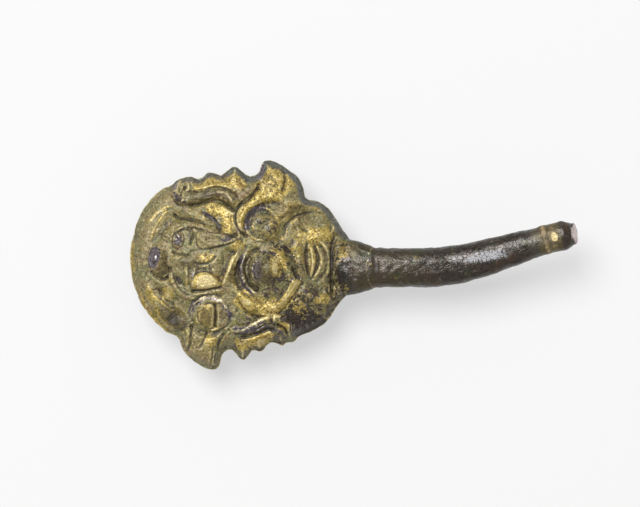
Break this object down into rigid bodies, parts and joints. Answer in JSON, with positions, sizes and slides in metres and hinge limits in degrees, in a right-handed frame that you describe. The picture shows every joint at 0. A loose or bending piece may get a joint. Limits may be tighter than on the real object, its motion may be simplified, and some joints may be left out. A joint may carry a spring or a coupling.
{
  "type": "garment hook",
  "caption": "Cast garment hook: a round carved plate of interlocked beast masks, a curved arm with a broken hook end, and a flat button on a stem at the back.",
  "frame": {"origin": "centre of the button's flat underside, on which the hook rests", "axes": "+X along the arm towards its broken end, +Y across the plate, +Z out of the carved front"},
  "size_m": [0.0639, 0.0301, 0.0132],
  "materials": {
    "gilded_bronze": "worn gilding over dark bronze patina"
  },
  "bodies": {
    "root": {"garment_hook": "gilded_bronze"}
  },
  "joints": []
}
